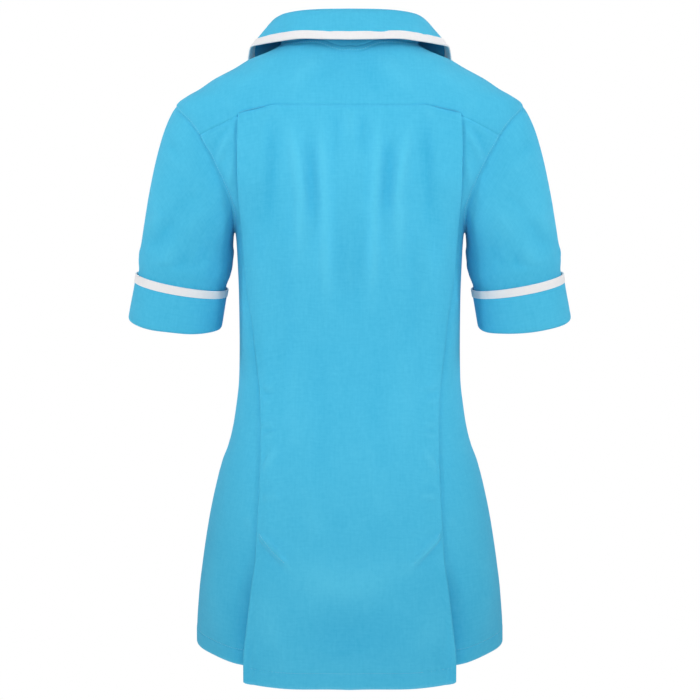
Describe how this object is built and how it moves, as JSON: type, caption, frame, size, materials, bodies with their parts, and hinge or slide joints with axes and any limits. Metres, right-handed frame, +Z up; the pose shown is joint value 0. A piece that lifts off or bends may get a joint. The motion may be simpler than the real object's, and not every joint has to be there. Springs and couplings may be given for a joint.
{
  "type": "medical tunic",
  "caption": "Short-sleeved healthcare tunic, filled out as worn: bound collar, turned-back bound cuffs, back yoke, action pleats and open back vents",
  "frame": {"origin": "on the body's middle plane, level with the side neck points where the shoulder seams meet the collar, where the wearer's shoulders hold the tunic up", "axes": "+Z up, +Y towards the wearer's back, +X towards the wearer's left"},
  "size_m": [0.5114, 0.2783, 0.7421],
  "materials": {
    "cloth_blue": "matt poly-cotton twill",
    "trim_white": "matt woven binding",
    "button": "smooth four-hole button"
  },
  "bodies": {
    "root": {"back_panel": "cloth_blue", "back_yoke": "cloth_blue", "side_back_left": "cloth_blue", "side_back_right": "cloth_blue", "front_left": "cloth_blue", "front_right": "cloth_blue", "rever_left": "cloth_blue", "rever_right": "cloth_blue", "collar": "cloth_blue", "collar_trim": "trim_white", "sleeve_left": "cloth_blue", "sleeve_right": "cloth_blue", "cuff_left": "cloth_blue", "cuff_right": "cloth_blue", "cuff_trim_left": "trim_white", "cuff_trim_right": "trim_white", "button_1": "button", "button_2": "button", "button_3": "button", "button_4": "button", "button_5": "button"}
  },
  "joints": []
}
